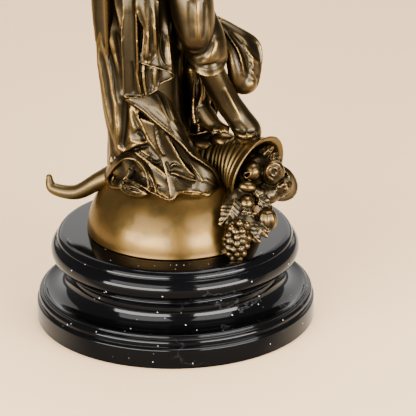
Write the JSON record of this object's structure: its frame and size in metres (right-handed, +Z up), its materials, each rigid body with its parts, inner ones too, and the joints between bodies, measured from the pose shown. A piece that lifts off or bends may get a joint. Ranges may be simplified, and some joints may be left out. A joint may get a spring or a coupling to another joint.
{
  "type": "bronze winged victory statue",
  "caption": "Winged victory figure striding over a dome and a horn of plenty, lifting a wreath, cast in bronze on a turned black marble plinth.",
  "frame": {"origin": "centre of the plinth's round underside", "axes": "+Z up, the figure faces -Y, and the horn of plenty opens towards +X"},
  "size_m": [0.2059, 0.2, 0.4909],
  "materials": {
    "bronze": "brown patinated bronze, rubbed golden on edges and on the dome",
    "black_marble": "polished black marble with fine pale specks"
  },
  "bodies": {
    "root": {"marble_plinth": "black_marble", "bronze_statue": "bronze"}
  },
  "joints": []
}
